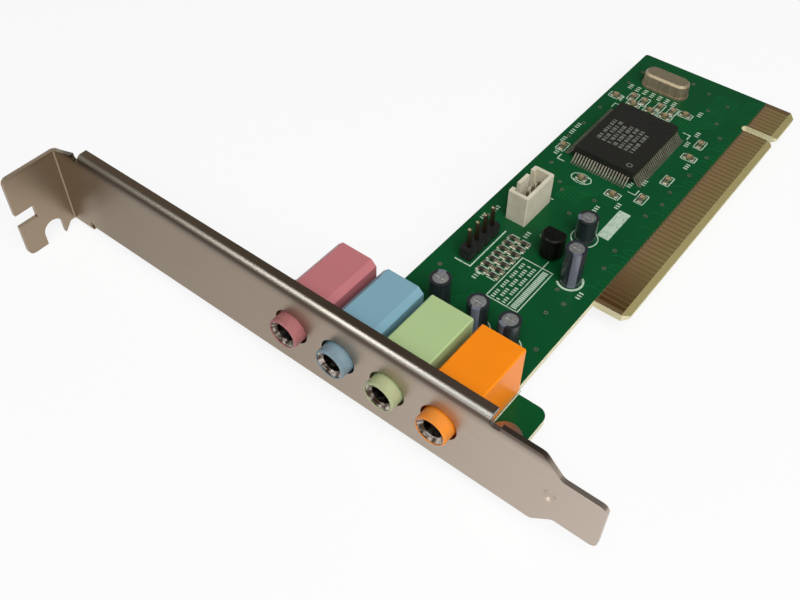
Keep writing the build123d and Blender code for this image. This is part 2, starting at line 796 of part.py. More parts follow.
# Small surface parts: a ceramic body between two plated ends
resistor_stations = []
for column in spread(resistor_columns, resistor_column_pitch):
    for line in spread(resistor_rows, resistor_row_pitch):
        place = (resistor_block_x + column, resistor_block_y + line, deck)
        resistor_stations.append(Location(place, (0, 0, standing)))
capacitor_stations = [Location((x, y, deck), (0, 0, turn)) for x, y, turn in chip_capacitor_places]
body_length = chip_part_length - 2 * terminal_length
for name, stations, thickness in (
    ("chip_resistors", resistor_stations, resistor_thickness),
    ("chip_capacitors", capacitor_stations, capacitor_thickness),
):
    with BuildPart() as bodies:
        with Locations(*stations):
            Box(body_length, chip_part_width, thickness, align=(Align.CENTER, Align.CENTER, Align.MIN))
    bodies.part.label = name
    export_step(bodies.part, f"parts/{name}.step")

terminal_offset = (chip_part_length - terminal_length) / 2
with BuildPart() as chip_terminals:
    for stations, thickness in (
        (resistor_stations, resistor_thickness),
        (capacitor_stations, capacitor_thickness),
    ):
        for side in (1, -1):
            with Locations(*[station * Location((side * terminal_offset, 0, 0)) for station in stations]):
                Box(terminal_length, chip_part_width, thickness, align=(Align.CENTER, Align.CENTER, Align.MIN))
chip_terminals.part.label = "chip_terminals"
export_step(chip_terminals.part, "parts/chip_terminals.step")

# Solder cones, one shape for each size of lead
cones = []
for lead_size in lead_sizes:
    with BuildPart() as cone:
        with BuildSketch(Plane.XY.offset(-deck)):
            RegularPolygon(lead_size / 2 + joint_margin, joint_sides)
        with BuildSketch(Plane.XY.offset(-deck - joint_height)):
            RegularPolygon(lead_size * joint_tip_share, joint_sides)
        loft(ruled=True)
    cones.append((lead_size, cone.part))
with BuildPart() as solder_joints:
    for lead_size, cone_part in cones:
        with Locations(*[(x, y, 0) for x, y, size in leads if size == lead_size]):
            add(cone_part)
solder_joints.part.label = "solder_joints"
export_step(solder_joints.part, "parts/solder_joints.step")
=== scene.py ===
import math

import bmesh
import bpy
from mathutils import Matrix, Vector


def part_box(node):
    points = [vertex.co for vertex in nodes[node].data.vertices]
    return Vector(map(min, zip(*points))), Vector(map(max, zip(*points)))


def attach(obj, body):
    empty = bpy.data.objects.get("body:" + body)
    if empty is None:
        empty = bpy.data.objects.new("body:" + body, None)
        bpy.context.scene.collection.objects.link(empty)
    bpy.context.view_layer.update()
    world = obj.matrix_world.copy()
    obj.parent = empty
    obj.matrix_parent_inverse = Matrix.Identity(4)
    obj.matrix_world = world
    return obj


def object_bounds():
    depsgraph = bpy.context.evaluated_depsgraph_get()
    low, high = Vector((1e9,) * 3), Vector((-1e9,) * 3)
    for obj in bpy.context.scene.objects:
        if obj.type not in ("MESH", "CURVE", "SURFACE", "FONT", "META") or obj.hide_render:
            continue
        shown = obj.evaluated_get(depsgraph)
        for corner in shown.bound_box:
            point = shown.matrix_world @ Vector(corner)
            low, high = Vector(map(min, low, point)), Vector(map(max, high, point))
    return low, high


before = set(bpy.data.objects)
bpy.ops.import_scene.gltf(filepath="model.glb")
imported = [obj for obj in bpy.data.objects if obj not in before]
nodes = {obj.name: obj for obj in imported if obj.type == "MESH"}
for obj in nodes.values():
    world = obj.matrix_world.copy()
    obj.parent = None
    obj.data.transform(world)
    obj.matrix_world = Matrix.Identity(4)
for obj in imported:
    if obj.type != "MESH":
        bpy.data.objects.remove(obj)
cadBox = [list(corner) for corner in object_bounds()]
jackColours = ("orange", "green", "blue", "pink")
mm = 0.001
perMm = 1000  # divided by a pattern's size in mm, it gives the pattern's scale
fineRelief = 0.02 * mm  # depth of the finest bumps
fullTurn = 360
leastSteps, stepsPerRadian = 8, 4  # roundness of printed rings
colourA, colourB, colourOut = 6, 7, 2  # colour sockets of a Mix node
blend = {"data_type": "RGBA"}  # a Mix node that goes from one colour to the other
multiply = {"data_type": "RGBA", "blend_type": "MULTIPLY", 0: 1.0}  # one that multiplies them
boardLow, boardTop = (corner.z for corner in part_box("circuit_board"))
print("frame loaded:", len(nodes), "nodes")


def linear(code):
    parts = [int(code[i : i + 2], 16) / 255 for i in (1, 3, 5)]
    return (*(c / 12.92 if c <= 0.04045 else ((c + 0.055) / 1.055) ** 2.4 for c in parts), 1.0)


def feed(tree, node, links):
    for key, source in links.items():
        tree.links.new(source, node.inputs[key])


def addNode(tree, kind, settings=None, links=None):
    node = tree.nodes.new(kind)
    for key, value in (settings or {}).items():
        if isinstance(key, str) and hasattr(node, key):
            setattr(node, key, value)
        else:
            node.inputs[key].default_value = value
    feed(tree, node, links or {})
    return node


def newMaterial(name, settings):
    material = bpy.data.materials.new(name)
    material.use_nodes = True
    tree = material.node_tree
    shader = tree.nodes["Principled BSDF"]
    for key, value in settings.items():
        shader.inputs[key].default_value = value
    place = addNode(tree, "ShaderNodeTexCoord").outputs["Object"]
    return material, tree, shader, place


def setRamp(ramp, stops):
    elements = ramp.color_ramp.elements
    while len(elements) < len(stops):
        elements.new(0.5)
    for element, (position, code) in zip(elements, stops):
        element.position = position
        element.color = linear(code)


# A finish whose colour follows one soft pattern, with its roughness and relief where the look has them
def mottledFinish(name, look):
    material, tree, shader, place = newMaterial(name, look["shader"])
    noise = {"Scale": 1.0, "Detail": look["detail"]}
    if "drawnOut" in look:  # one size for each axis
        sizes = [perMm / size for size in look["drawnOut"]]
        place = addNode(tree, "ShaderNodeMapping", {"Scale": sizes}, {"Vector": place}).outputs[0]
    else:
        noise["Scale"] = perMm / look["size"]
    pattern = addNode(tree, "ShaderNodeTexNoise", noise, {"Vector": place}).outputs["Fac"]
    ramp = addNode(tree, "ShaderNodeValToRGB", None, {0: pattern})
    setRamp(ramp, look["stops"])
    feed(tree, shader, {"Base Color": ramp.outputs[0]})
    if "rough" in look:
        rough = addNode(tree, "ShaderNodeMapRange", look["rough"], {"Value": pattern})
        feed(tree, shader, {"Roughness": rough.outputs[0]})
    if "relief" in look:
        bump = {"Strength": look["relief"], "Distance": fineRelief}
        skin = addNode(tree, "ShaderNodeBump", bump, {"Height": pattern})
        feed(tree, shader, {"Normal": skin.outputs["Normal"]})
    return material


def dress(material, *names):
    for name in names:
        nodes[name].data.materials.clear()
        nodes[name].data.materials.append(material)


# Glass-epoxy board under glossy green solder mask: deep green with a cloudy tone and a trace of the glass
# weave, bare brown laminate between the contacts, pale straw where the edges are cut
boardLook = {
    "shader": {"Roughness": 0.28, "Specular IOR Level": 0.18},
    "mask": "#074725",
    "thinMask": "#0a5329",
    "laminate": "#665339",
    "cut": "#978d61",
    "side": "#d6cfaa",
    "toneSize": 9,
    "weave": 0.7,
    "relief": 0.08,
    "bareBelow": 6.95,  # the mask ends at this y, on the part of the board beyond bareFrom
    "bareFrom": -64.6,
    "cutBelow": 1.3,
    "wallTilt": 0.3,  # faces whose normal rises less than this are cut sides
}
boardFinish, tree, shader, place = newMaterial("solderMaskGreen", boardLook["shader"])
noise = {"Scale": perMm / boardLook["toneSize"], "Detail": 2.0}
tone = addNode(tree, "ShaderNodeTexNoise", noise, {"Vector": place})
masks = {colourA: linear(boardLook["mask"]), colourB: linear(boardLook["thinMask"])}
mask = addNode(tree, "ShaderNodeMix", {**blend, **masks}, {0: tone.outputs["Fac"]})
axes = addNode(tree, "ShaderNodeSeparateXYZ", None, {0: place})
limit = {"operation": "LESS_THAN", 1: boardLook["bareBelow"] * mm}
bareY = addNode(tree, "ShaderNodeMath", limit, {0: axes.outputs["Y"]})
limit = {"operation": "GREATER_THAN", 1: boardLook["bareFrom"] * mm}
bareX = addNode(tree, "ShaderNodeMath", limit, {0: axes.outputs["X"]})
limit = {"operation": "LESS_THAN", 1: boardLook["cutBelow"] * mm}
cutY = addNode(tree, "ShaderNodeMath", limit, {0: axes.outputs["Y"]})
both = {"operation": "MULTIPLY"}
bare = addNode(tree, "ShaderNodeMath", both, {0: bareY.outputs[0], 1: bareX.outputs[0]})
cut = addNode(tree, "ShaderNodeMath", both, {0: cutY.outputs[0], 1: bareX.outputs[0]})
facing = addNode(tree, "ShaderNodeNewGeometry").outputs["Normal"]
facing = addNode(tree, "ShaderNodeSeparateXYZ", None, {0: facing})
level = addNode(tree, "ShaderNodeMath", {"operation": "ABSOLUTE"}, {0: facing.outputs["Z"]})
limit = {"operation": "LESS_THAN", 1: boardLook["wallTilt"]}
wall = addNode(tree, "ShaderNodeMath", limit, {0: level.outputs[0]})
colour = mask
for code, where in ((boardLook["laminate"], bare), (boardLook["cut"], cut), (boardLook["side"], wall)):
    links = {0: where.outputs[0], colourA: colour.outputs[colourOut]}
    colour = addNode(tree, "ShaderNodeMix", {**blend, colourB: linear(code)}, links)
noise = {"Scale": perMm / boardLook["weave"], "Detail": 1.0}
weave = addNode(tree, "ShaderNodeTexNoise", noise, {"Vector": place})
bump = {"Strength": boardLook["relief"], "Distance": fineRelief}
ripple = addNode(tree, "ShaderNodeBump", bump, {"Height": weave.outputs["Fac"]})
feed(tree, shader, {"Base Color": colour.outputs[colourOut], "Normal": ripple.outputs["Normal"]})
dress(boardFinish, "circuit_board")

# Thin gold over nickel on the contacts: brown-tan by the board, olive gold towards the rubbed mating edge,
# and darker at the near end where fingers hold it
contactLook = {
    "shader": {"Metallic": 0.75, "Roughness": 0.38},
    "stops": [(0.0, "#c2b47c"), (0.12, "#b4a66e"), (0.5, "#b89e68"), (0.8, "#bb9c6c"), (1.0, "#b89873")],
    "length": 6.7,
    "rub": 0.5,
    "rubShare": 0.25,
    "handled": "#94764f",
    "handledFrom": -48,
    "handledTo": -64,
}
contactGold, tree, shader, place = newMaterial("contactGold", contactLook["shader"])
axes = addNode(tree, "ShaderNodeSeparateXYZ", None, {0: place})
share = {"operation": "DIVIDE", 1: contactLook["length"] * mm}
along = addNode(tree, "ShaderNodeMath", share, {0: axes.outputs["Y"]})
noise = {"Scale": perMm / contactLook["rub"], "Detail": 1.0}
rub = addNode(tree, "ShaderNodeTexNoise", noise, {"Vector": place})
spread = {"operation": "MULTIPLY_ADD", 1: contactLook["rubShare"], 2: -contactLook["rubShare"] / 2}
shift = addNode(tree, "ShaderNodeMath", spread, {0: rub.outputs["Fac"]})
worn = addNode(tree, "ShaderNodeMath", {"operation": "ADD"}, {0: along.outputs[0], 1: shift.outputs[0]})
ramp = addNode(tree, "ShaderNodeValToRGB", None, {0: worn.outputs[0]})
setRamp(ramp, contactLook["stops"])
span = {"From Min": contactLook["handledFrom"] * mm, "From Max": contactLook["handledTo"] * mm}
nearEnd = addNode(tree, "ShaderNodeMapRange", span, {"Value": axes.outputs["X"]})
links = {0: nearEnd.outputs[0], colourA: ramp.outputs[0]}
handled = addNode(tree, "ShaderNodeMix", {**multiply, colourB: linear(contactLook["handled"])}, links)
feed(tree, shader, {"Base Color": handled.outputs[colourOut]})
dress(contactGold, "component_side_fingers", "solder_side_fingers")

# Nickel-plated mild steel sheet, rolled then satin plated: warm grey with a soft sheen and fine rolling lines
# along its length. The colour darkens towards the tab and pales again on the tab, a painted reflection. A
# band by height along the top edge paints shade under the bend and on the lip's top, with a painted highlight
# tint on the bend. The lines are drawn wider than real so that they show
steelLook = {
    "shader": {"Metallic": 1.0},
    # colour along the bracket: a painted reflection, darker towards the tab and paler again on the tab
    "stops": [(0.0, "#bfb1a4"), (0.45, "#998a7a"), (0.9, "#7e6f5c"), (0.99, "#9c8b76")],
    "from": -18.2,
    "to": 101.8,
    "line": 0.25,
    "run": 12,
    "lineTint": {"To Min": 0.93, "To Max": 1.05},
    "relief": 0.06,
    "cloud": 14,
    "rough": {"To Min": 0.3, "To Max": 0.42},
    # band by height along the top edge: painted shade under the bend and on the lip's top, and a painted
    # highlight tint on the bend
    "lipBand": 3.2,
    "lipShadeStops": [
        (0.0, "#ffffff"),
        (0.35, "#e4e4e4"),
        (0.6, "#8c8480"),
        (0.8, "#8c8480"),
        (0.87, "#dfeefa"),
        (0.985, "#dfeefa"),
        (1.0, "#b4aca4"),
    ],
}
bracketSteel, tree, shader, place = newMaterial("satinNickelSteel", steelLook["shader"])
axes = addNode(tree, "ShaderNodeSeparateXYZ", None, {0: place})
span = {"From Min": steelLook["from"] * mm, "From Max": steelLook["to"] * mm}
along = addNode(tree, "ShaderNodeMapRange", span, {"Value": axes.outputs["Y"]})
ramp = addNode(tree, "ShaderNodeValToRGB", None, {0: along.outputs[0]})
setRamp(ramp, steelLook["stops"])
sizes = [perMm / steelLook[key] for key in ("line", "run", "line")]
stretch = addNode(tree, "ShaderNodeMapping", {"Scale": sizes}, {"Vector": place})
noise = {"Scale": 1.0, "Detail": 3.0}
rolling = addNode(tree, "ShaderNodeTexNoise", noise, {"Vector": stretch.outputs[0]})
noise = {"Scale": perMm / steelLook["cloud"], "Detail": 3.0}
cloud = addNode(tree, "ShaderNodeTexNoise", noise, {"Vector": place})
patch = addNode(tree, "ShaderNodeMapRange", steelLook["rough"], {"Value": cloud.outputs["Fac"]})
fine = addNode(tree, "ShaderNodeMapRange", steelLook["lineTint"], {"Value": rolling.outputs["Fac"]})
tint = addNode(tree, "ShaderNodeMix", multiply, {colourA: ramp.outputs[0], colourB: fine.outputs[0]})
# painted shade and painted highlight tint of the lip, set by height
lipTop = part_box("bracket")[1].z
span = {"From Min": lipTop - steelLook["lipBand"] * mm, "From Max": lipTop}
rise = addNode(tree, "ShaderNodeMapRange", span, {"Value": axes.outputs["Z"]})
paintedLipShade = addNode(tree, "ShaderNodeValToRGB", None, {0: rise.outputs[0]})
setRamp(paintedLipShade, steelLook["lipShadeStops"])
links = {colourA: tint.outputs[colourOut], colourB: paintedLipShade.outputs[0]}
steelWithPaintedShade = addNode(tree, "ShaderNodeMix", multiply, links)
bump = {"Strength": steelLook["relief"], "Distance": fineRelief}
lines = addNode(tree, "ShaderNodeBump", bump, {"Height": rolling.outputs["Fac"]})
feed(tree, shader, {"Base Color": steelWithPaintedShade.outputs[colourOut], "Roughness": patch.outputs[0]})
feed(tree, shader, {"Normal": lines.outputs["Normal"]})
dress(bracketSteel, "bracket", "bracket_lugs")

# Two metals with a grain of small crystals that shows in their gloss
grainedLooks = {
    # Bright zinc on the lug screws: bluish grey with small spangles
    "brightZinc": {
        "base": "#b9bab6",
        "size": 0.4,
        "rough": {"To Min": 0.22, "To Max": 0.4},
        "node": "lug_screws",
    },
    # Solder cones: bright frozen metal with a slightly crystalline skin
    "frozenSolder": {
        "base": "#c6c7c4",
        "size": 0.3,
        "rough": {"To Min": 0.2, "To Max": 0.45},
        "node": "solder_joints",
    },
}
for name, look in grainedLooks.items():
    metal, tree, shader, place = newMaterial(name, {"Metallic": 1.0, "Base Color": linear(look["base"])})
    grain = addNode(tree, "ShaderNodeTexVoronoi", {"Scale": perMm / look["size"]}, {"Vector": place})
    rough = addNode(tree, "ShaderNodeMapRange", look["rough"], {"Value": grain.outputs["Distance"]})
    feed(tree, shader, {"Roughness": rough.outputs[0]})
    dress(metal, look["node"])
print("board, bracket and solder finishes done")

# Moulded ABS of the jacks: even colour, half gloss, a faint spark-eroded grain (drawn coarser than real so
# that it shows). The noses outside the bracket are dulled and greyed by plugs and fingers
jackLook = {
    "shader": {"Roughness": 0.4, "Specular IOR Level": 0.25, "IOR": 1.53},
    "bodies": {"orange": "#f98a0c", "green": "#adc48c", "blue": "#7ea6b6", "pink": "#bd7377"},
    "noses": {"orange": "#d78432", "green": "#a3a881", "blue": "#73868f", "pink": "#9a6161"},
    "grain": 0.12,
    "relief": 0.1,
    "flow": 7,
    "flowTint": {"To Min": 0.94, "To Max": 1.05},
    "noseReach": 2.2,
    "noseFade": 0.4,
    "scuff": 1.5,
    "scuffShare": {"From Min": 0.3, "From Max": 0.6, "To Min": 0.7},
}
for name in jackColours:
    plastic, tree, shader, place = newMaterial(name + "JackAbs", jackLook["shader"])
    noise = {"Scale": perMm / jackLook["flow"], "Detail": 2.0}
    flow = addNode(tree, "ShaderNodeTexNoise", noise, {"Vector": place})
    shade = addNode(tree, "ShaderNodeMapRange", jackLook["flowTint"], {"Value": flow.outputs["Fac"]})
    body = {**multiply, colourA: linear(jackLook["bodies"][name])}
    tint = addNode(tree, "ShaderNodeMix", body, {colourB: shade.outputs[0]})
    axes = addNode(tree, "ShaderNodeSeparateXYZ", None, {0: place})
    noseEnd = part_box(name + "_jack_housing")[0].x + jackLook["noseReach"] * mm
    span = {"From Min": noseEnd + jackLook["noseFade"] * mm, "From Max": noseEnd}
    handled = addNode(tree, "ShaderNodeMapRange", span, {"Value": axes.outputs["X"]})
    noise = {"Scale": perMm / jackLook["scuff"], "Detail": 2.0}
    rubbed = addNode(tree, "ShaderNodeTexNoise", noise, {"Vector": place})
    uneven = addNode(tree, "ShaderNodeMapRange", jackLook["scuffShare"], {"Value": rubbed.outputs["Fac"]})
    links = {0: handled.outputs[0], 1: uneven.outputs[0]}
    wear = addNode(tree, "ShaderNodeMath", {"operation": "MULTIPLY"}, links)
    links = {0: wear.outputs[0], colourA: tint.outputs[colourOut]}
    worn = addNode(tree, "ShaderNodeMix", {**blend, colourB: linear(jackLook["noses"][name])}, links)
    noise = {"Scale": perMm / jackLook["grain"], "Detail": 1.0}
    grain = addNode(tree, "ShaderNodeTexNoise", noise, {"Vector": place})
    bump = {"Strength": jackLook["relief"], "Distance": fineRelief}
    skin = addNode(tree, "ShaderNodeBump", bump, {"Height": grain.outputs["Fac"]})
    feed(tree, shader, {"Base Color": worn.outputs[colourOut], "Normal": skin.outputs["Normal"]})
    dress(plastic, name + "_jack_housing")

# Nickel on the turned bushes, in dark brown and bright patches: the dark patches are painted shade inside the
# holes and the bright ones are painted glints. Faint turning rings are left to the roughness
bushLook = {
    "shader": {"Metallic": 1.0},
    "size": 1.3,
    "detail": 2.0,
    # dark brown is painted shade inside the holes, pale grey is painted glints
    "stops": [(0.42, "#4a3d33"), (0.6, "#c4bab0")],
    "ringPitch": 1.2,
    "ringWander": 0.4,
    "ringRough": {"To Min": 0.24, "To Max": 0.34},
}
bushNickel = mottledFinish("bushNickelPaintedGlints", bushLook)
tree = bushNickel.node_tree
place = addNode(tree, "ShaderNodeTexCoord").outputs["Object"]
wave = {"bands_direction": "X", "Scale": perMm / bushLook["ringPitch"], "Distortion": bushLook["ringWander"]}
turned = addNode(tree, "ShaderNodeTexWave", wave, {"Vector": place})
rough = addNode(tree, "ShaderNodeMapRange", bushLook["ringRough"], {"Value": turned.outputs["Fac"]})
feed(tree, tree.nodes["Principled BSDF"], {"Roughness": rough.outputs[0]})
dress(bushNickel, *[name + "_jack_bush" for name in jackColours])

# Tinned phosphor bronze strip for the springs and switch blades: warm pale metal, a little uneven
springLook = {
    "shader": {"Metallic": 1.0, "Roughness": 0.35},
    "size": 2,
    "detail": 2.0,
    "stops": [(0.35, "#b89a6a"), (0.65, "#c9bfa8")],
    "strips": ("tip_spring", "ring_spring", "tip_switch", "ring_switch"),
}
springBronze = mottledFinish("tinnedBronze", springLook)
dress(springBronze, *[f"{name}_jack_{strip}" for name in jackColours for strip in springLook["strips"]])
print("jack finishes done")

# Moulded epoxy of the controller: near black, fine matt grain from the etched mould
controllerLook = {
    "shader": {"Roughness": 0.5, "Specular IOR Level": 0.35},
    "size": 0.35,
    "detail": 2.0,
    "stops": [(0.3, "#13120d"), (0.7, "#1f1e18")],
    "relief": 0.15,
}
dress(mottledFinish("mouldedEpoxyBlack", controllerLook), "controller_chip")

# Small glossier moulding of the regulator: deeper black, with the flow marks of a fast mould
regulatorLook = {
    "shader": {"Roughness": 0.42, "Specular IOR Level": 0.15},
    "size": 1.1,
    "detail": 2.0,
    "stops": [(0.3, "#060704"), (0.7, "#10110c")],
}
dress(mottledFinish("polishedEpoxyBlack", regulatorLook), "regulator_body")

# Matt tin on leads, pins and small terminals: soft grey with a yellowish cast
tinLook = {
    "shader": {"Metallic": 1.0, "Roughness": 0.5},
    "size": 1.5,
    "detail": 2.0,
    "stops": [(0.3, "#8f8878"), (0.7, "#aaa494")],
}
leadTin = mottledFinish("mattTin", tinLook)
dress(leadTin, "audio_socket_pins", "regulator_leads", "chip_terminals")

# Older, duller tin on the controller's fine leads: grey brown, with flux left between them
leadLook = {
    "shader": {"Metallic": 0.45, "Roughness": 0.55},
    "size": 2,
    "detail": 2.0,
    "stops": [(0.3, "#6e695a"), (0.7, "#878272")],
}
dress(mottledFinish("dullTin", leadLook), "controller_leads")

# Drawn nickel-silver can of the crystal: warm tan metal with draw marks up its sides
crystalLook = {
    "shader": {"Metallic": 1.0},
    "drawnOut": (0.3, 0.3, 5),
    "detail": 2.0,
    "stops": [(0.3, "#94876f"), (0.7, "#aca088")],
    "rough": {"To Min": 0.56, "To Max": 0.7},
}
dress(mottledFinish("drawnNickelSilver", crystalLook), "crystal_can", "crystal_base")

# Natural nylon of the audio socket: warm off-white, waxy, slightly translucent at thin walls
socketLook = {
    "shader": {"Roughness": 0.45, "Subsurface Weight": 0.15, "Subsurface Radius": (0.0006, 0.0005, 0.0004)},
    "size": 3,
    "detail": 2.0,
    "stops": [(0.3, "#d0cab2"), (0.7, "#dfd9c4")],
}
dress(mottledFinish("naturalNylon", socketLook), "audio_socket")

# Black glass-filled nylon of the header, with the grey flecks of the fibre
headerLook = {
    "shader": {"Roughness": 0.48},
    "size": 0.25,
    "detail": 1.0,
    "stops": [(0.45, "#0b0c09"), (0.8, "#1c1d19")],
}
dress(mottledFinish("glassNylonBlack", headerLook), "pin_header")

# Gold flash on the square header pins: dark brown over most of their height, a painted shade, and paler at
# the tips, a painted highlight
pinLook = {
    "shader": {"Metallic": 1.0, "Roughness": 0.42},
    "stops": [(0.0, "#3f3524"), (0.7, "#5b4f38"), (1.0, "#a79c7e")],
    "from": 2,  # heights above the board
    "to": 8,
}
pinGold, tree, shader, place = newMaterial("flashGold", pinLook["shader"])
axes = addNode(tree, "ShaderNodeSeparateXYZ", None, {0: place})
# colour by height: painted shade low down, painted highlight at the tips
span = {"From Min": boardTop + pinLook["from"] * mm, "From Max": boardTop + pinLook["to"] * mm}
height = addNode(tree, "ShaderNodeMapRange", span, {"Value": axes.outputs["Z"]})
ramp = addNode(tree, "ShaderNodeValToRGB", None, {0: height.outputs[0]})
setRamp(ramp, pinLook["stops"])
feed(tree, shader, {"Base Color": ramp.outputs[0]})
dress(pinGold, "pin_header_pins")

# Drawn aluminium of the capacitor cans: light grey with a lathe sheen
canLook = {
    "shader": {"Metallic": 1.0},
    "size": 0.4,
    "detail": 2.0,
    "count": 5,
    "stops": [(0.3, "#a9aba9"), (0.7, "#c6c7c4")],
    "rough": {"To Min": 0.4, "To Max": 0.55},
}
canAluminium = mottledFinish("drawnAluminium", canLook)
dress(canAluminium, *[f"capacitor_{number}_can" for number in range(1, canLook["count"] + 1)])

# Shrunk film sleeves: glossy blue-black, creased, with one paler stripe that marks the negative lead
sleeveLook = {
    "shader": {"Roughness": 0.25, "Coat Weight": 0.3, "Coat Roughness": 0.15},
    "films": ("#23282b", "#23282b", "#23282b", "#23282b", "#262a32"),
    "stripes": ("#6d7280", "#6d7280", "#6d7280", "#6d7280", "#676976"),
    "stripeTurns": (25, 200, 160, 120, 215),
    "stripeWidth": 1.5,
    "crease": 1.2,
    "creaseDepth": 0.05,
    "relief": 0.25,
}
sleeves = zip(sleeveLook["films"], sleeveLook["stripes"], sleeveLook["stripeTurns"])
for number, (filmCode, stripeCode, degrees) in enumerate(sleeves, 1):
    low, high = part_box(f"capacitor_{number}_sleeve")
    film, tree, shader, place = newMaterial(f"shrinkFilm{number}", sleeveLook["shader"])
    axis = {"vector_type": "TEXTURE", "Location": (low + high) / 2, "Rotation": (0, 0, math.radians(degrees))}
    centred = addNode(tree, "ShaderNodeMapping", axis, {"Vector": place})
    axes = addNode(tree, "ShaderNodeSeparateXYZ", None, {0: centred.outputs[0]})
    across = addNode(tree, "ShaderNodeMath", {"operation": "ABSOLUTE"}, {0: axes.outputs["Y"]})
    limit = {"operation": "LESS_THAN", 1: sleeveLook["stripeWidth"] / 2 * mm}
    narrow = addNode(tree, "ShaderNodeMath", limit, {0: across.outputs[0]})
    limit = {"operation": "GREATER_THAN", 1: 0.0}
    front = addNode(tree, "ShaderNodeMath", limit, {0: axes.outputs["X"]})
    links = {0: narrow.outputs[0], 1: front.outputs[0]}
    stripe = addNode(tree, "ShaderNodeMath", {"operation": "MULTIPLY"}, links)
    tints = {colourA: linear(filmCode), colourB: linear(stripeCode)}
    tint = addNode(tree, "ShaderNodeMix", {**blend, **tints}, {0: stripe.outputs[0]})
    noise = {"Scale": perMm / sleeveLook["crease"], "Detail": 2.0}
    crease = addNode(tree, "ShaderNodeTexNoise", noise, {"Vector": place})
    bump = {"Strength": sleeveLook["relief"], "Distance": sleeveLook["creaseDepth"] * mm}
    shrink = addNode(tree, "ShaderNodeBump", bump, {"Height": crease.outputs["Fac"]})
    feed(tree, shader, {"Base Color": tint.outputs[colourOut], "Normal": shrink.outputs["Normal"]})
    dress(film, f"capacitor_{number}_sleeve")

# Printed ceramic of the resistors, dark glass over alumina
resistorLook = {
    "shader": {"Roughness": 0.35},
    "size": 0.6,
    "detail": 1.0,
    "stops": [(0.35, "#2b2922"), (0.7, "#403d32")],
}
dress(mottledFinish("resistorGlass", resistorLook), "chip_resistors")

# Fired ceramic of the chip capacitors: flat tan, a little speckled
ceramicLook = {
    "shader": {"Roughness": 0.55},
    "size": 0.4,
    "detail": 2.0,
    "stops": [(0.3, "#8f7a56"), (0.7, "#a99470")],
}
dress(mottledFinish("tanCeramic", ceramicLook), "chip_capacitors")
print("small part finishes done")


def addPiece(name, bm, material):
    bmesh.ops.recalc_face_normals(bm, faces=bm.faces)
    mesh = bpy.data.meshes.new(name)
    bm.to_mesh(mesh)
    bm.free()
    mesh.materials.append(material)
    piece = bpy.data.objects.new(name, mesh)
    bpy.context.collection.objects.link(piece)
    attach(piece, "root")


def bar(bm, start, end, width, base, thick):
    start, end = Vector(start), Vector(end)
    middle = (start + end) / 2
    run = end - start
    place = Matrix.Translation((middle.x * mm, middle.y * mm, base + thick / 2))
    turn = Matrix.Rotation(math.atan2(run.y, run.x), 4, "Z")
    size = Matrix.Diagonal(((run.length + width) * mm, width * mm, thick, 1))
    bmesh.ops.create_cube(bm, size=1, matrix=place @ turn @ size)


def tick(bm, x, y, tall, width, base, thick):
    reach = (tall - width) / 2
    bar(bm, (x, y - reach), (x, y + reach), width, base, thick)


def frameBars(bm, low, high, width, base, thick):
    for y in (low[1], high[1]):
        bar(bm, (low[0], y), (high[0], y), width, base, thick)
    for x in (low[0], high[0]):
        bar(bm, (x, low[1] + width), (x, high[1] - width), width, base, thick)


def ring(bm, centre, radii, width, arc, turn, base, thick):
    inner = bm.verts.new(((radii[0] - width / 2) * mm, 0, 0))
    outer = bm.verts.new(((radii[0] + width / 2) * mm, 0, 0))
    edge = bm.edges.new((inner, outer))
    angle = math.radians(arc)
    made = bmesh.ops.spin(
        bm,
        geom=[inner, outer, edge],
        cent=(0, 0, 0),
        axis=(0, 0, 1),
        angle=angle,
        steps=max(leastSteps, int(angle * stepsPerRadian)),
        use_merge=arc == fullTurn,
    )
    lastVerts = [v for v in made["geom_last"] if isinstance(v, bmesh.types.BMVert)]
    stack = [inner if inner.is_valid else lastVerts[0]]
    verts = set()
    while stack:  # all that hangs together with the first vertex is this ring
        vert = stack.pop()
        if vert not in verts:
            verts.add(vert)
            stack.extend(e.other_vert(vert) for e in vert.link_edges)
    faces = list({face for vert in verts for face in vert.link_faces})
    raised = bmesh.ops.extrude_face_region(bm, geom=faces, use_keep_orig=True)
    lifted = [v for v in raised["geom"] if isinstance(v, bmesh.types.BMVert)]
    bmesh.ops.translate(bm, verts=lifted, vec=(0, 0, thick))
    verts = list(verts) + lifted
    bmesh.ops.scale(bm, verts=verts, vec=(1, radii[1] / radii[0], 1))
    place = Matrix.Translation((centre[0] * mm, centre[1] * mm, base))
    bmesh.ops.transform(bm, verts=verts, matrix=place @ Matrix.Rotation(math.radians(turn), 4, "Z"))


# Places of the chip parts, which the legend and the solder share: x, y and turn
partPlaces = [
    (-36.9, 26.1, 90), (-37.2, 18.6, 90), (-34.7, 13.4, 0), (-26.4, 12.0, 0),
    (-17.0, 11.8, 90), (-11.5, 11.9, 0), (-4.2, 19.1, 90), (-30.3, 34.6, 0),
    (-7.5, 34.6, 90), (-5.4, 31.4, 0), (-7.9, 30.0, 90), (-5.6, 28.6, 0),
    (-7.8, 25.9, 90), (-5.2, 24.9, 0), (-7.6, 22.4, 90), (-4.9, 21.9, 0),
]
resistorGrid = {"x": -65.6, "rows": (24.7, 27.2), "pitch": 1.75, "columns": 7}

